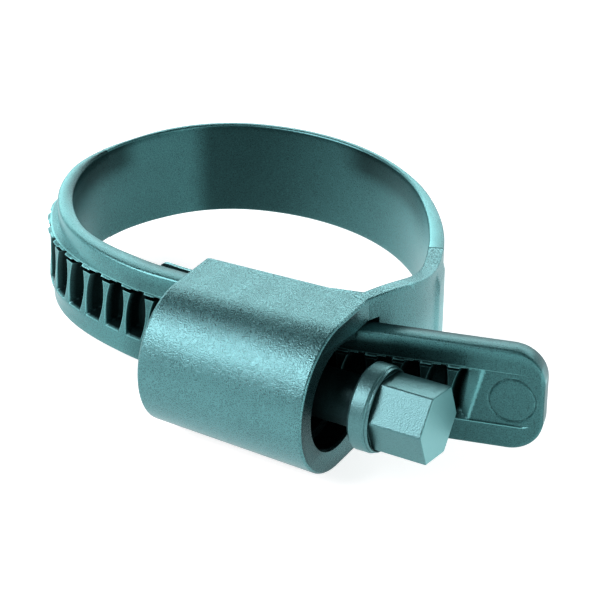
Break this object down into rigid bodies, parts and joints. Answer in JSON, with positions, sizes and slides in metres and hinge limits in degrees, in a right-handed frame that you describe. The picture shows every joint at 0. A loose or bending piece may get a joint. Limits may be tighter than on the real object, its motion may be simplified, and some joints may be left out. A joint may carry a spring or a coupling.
{
  "type": "worm-drive hose clamp",
  "caption": "Moulded plastic worm-drive hose clamp: a toothed band with its own barrel housing, and a hex-head worm screw that draws the strap through it.",
  "frame": {"origin": "on the hose axis, at the middle of the band's width, where the middle of a clamped hose lies", "axes": "+Z along the hose axis, +X along the screw towards its hex head, and the barrel housing on the -Y side"},
  "size_m": [0.0726, 0.057, 0.0184],
  "materials": {
    "housing_plastic": "teal-grey glass-filled nylon with a fine spark-eroded grain and a satin sheen",
    "band_plastic": "teal-grey glass-filled nylon, satin, slightly darker on the toothed face",
    "screw_plastic": "teal-grey glass-filled nylon, smoother than the housing"
  },
  "bodies": {
    "housing": {"housing": "housing_plastic"},
    "worm_screw": {"worm_screw": "screw_plastic"},
    "strap": {"strap": "band_plastic"},
    "exit_bend": {"exit_bend": "band_plastic"},
    "tail": {"tail": "band_plastic"},
    "rack_link_1": {"rack_link_1": "band_plastic"},
    "rack_link_2": {"rack_link_2": "band_plastic"},
    "rack_link_3": {"rack_link_3": "band_plastic"},
    "band_link_1": {"band_link_1": "band_plastic"},
    "band_link_2": {"band_link_2": "band_plastic"},
    "band_link_3": {"band_link_3": "band_plastic"},
    "band_link_4": {"band_link_4": "band_plastic"},
    "band_link_5": {"band_link_5": "band_plastic"},
    "band_link_6": {"band_link_6": "band_plastic"}
  },
  "joints": [
    {"name": "worm_spin", "type": "hinge", "parent": "housing", "child": "worm_screw", "pos_m": [0.0124, -0.0266, 0], "axis": [-1, 0, 0], "range_deg": [-360.01, 540.01]},
    {"name": "strap_slide", "type": "slide", "parent": "housing", "child": "strap", "axis": [1, 0, 0], "range_m": [-0.00317, 0.00476]},
    {"name": "rack_flex_1", "type": "hinge", "parent": "strap", "child": "rack_link_1", "pos_m": [-0.00217, -0.02134, 0], "axis": [0, 0, 1], "range_deg": [-0.93, 1.39]},
    {"name": "rack_flex_2", "type": "hinge", "parent": "rack_link_1", "child": "rack_link_2", "pos_m": [-0.01179, -0.01865, 0], "axis": [0, 0, 1], "range_deg": [-0.85, 1.27]},
    {"name": "rack_flex_3", "type": "hinge", "parent": "rack_link_2", "child": "rack_link_3", "pos_m": [-0.01955, -0.01237, 0], "axis": [0, 0, 1], "range_deg": [-0.76, 1.13]},
    {"name": "band_flex_1", "type": "hinge", "parent": "rack_link_3", "child": "band_link_1", "pos_m": [-0.02417, -0.00351, 0], "axis": [0, 0, 1], "range_deg": [-0.94, 1.4]},
    {"name": "band_flex_2", "type": "hinge", "parent": "band_link_1", "child": "band_link_2", "pos_m": [-0.02293, 0.00892, 0], "axis": [0, 0, 1], "range_deg": [-0.41, 0.61]},
    {"name": "band_flex_3", "type": "hinge", "parent": "band_link_2", "child": "band_link_3", "pos_m": [-0.01502, 0.01822, 0], "axis": [0, 0, 1], "range_deg": [-1.53, 1.03]},
    {"name": "band_flex_4", "type": "hinge", "parent": "band_link_3", "child": "band_link_4", "pos_m": [-0.00313, 0.02112, 0], "axis": [0, 0, 1], "range_deg": [-2.82, 1.89]},
    {"name": "band_flex_5", "type": "hinge", "parent": "band_link_4", "child": "band_link_5", "pos_m": [0.00877, 0.01824, 0], "axis": [0, 0, 1], "range_deg": [-3.84, 2.56]},
    {"name": "band_flex_6", "type": "hinge", "parent": "band_link_5", "child": "band_link_6", "pos_m": [0.0183, 0.01048, 0], "axis": [0, 0, 1], "range_deg": [-4.24, 2.83]},
    {"name": "exit_flex", "type": "hinge", "parent": "strap", "child": "exit_bend", "pos_m": [0.021, -0.0214, 0], "axis": [0, 0, 1], "range_deg": [-8.01, 12.01]},
    {"name": "tail_flex", "type": "hinge", "parent": "exit_bend", "child": "tail", "pos_m": [0.02615, -0.02077, 0], "axis": [0, 0, 1], "range_deg": [-12.01, 8.01]}
  ],
  "couplings": [
    {"joint": "worm_spin", "follows": "strap_slide", "rad_per_m": 1979},
    {"joint": "rack_flex_1", "follows": "strap_slide", "rad_per_m": 5.046},
    {"joint": "rack_flex_2", "follows": "strap_slide", "rad_per_m": 4.611},
    {"joint": "rack_flex_3", "follows": "strap_slide", "rad_per_m": 4.077},
    {"joint": "band_flex_1", "follows": "strap_slide", "rad_per_m": 5.086},
    {"joint": "band_flex_2", "follows": "strap_slide", "rad_per_m": 2.197},
    {"joint": "band_flex_3", "follows": "strap_slide", "rad_per_m": -5.561},
    {"joint": "band_flex_4", "follows": "strap_slide", "rad_per_m": -10.291},
    {"joint": "band_flex_5", "follows": "strap_slide", "rad_per_m": -14.011},
    {"joint": "band_flex_6", "follows": "strap_slide", "rad_per_m": -15.495},
    {"joint": "exit_flex", "follows": "strap_slide", "rad_per_m": 43.972},
    {"joint": "tail_flex", "follows": "strap_slide", "rad_per_m": -43.972}
  ]
}
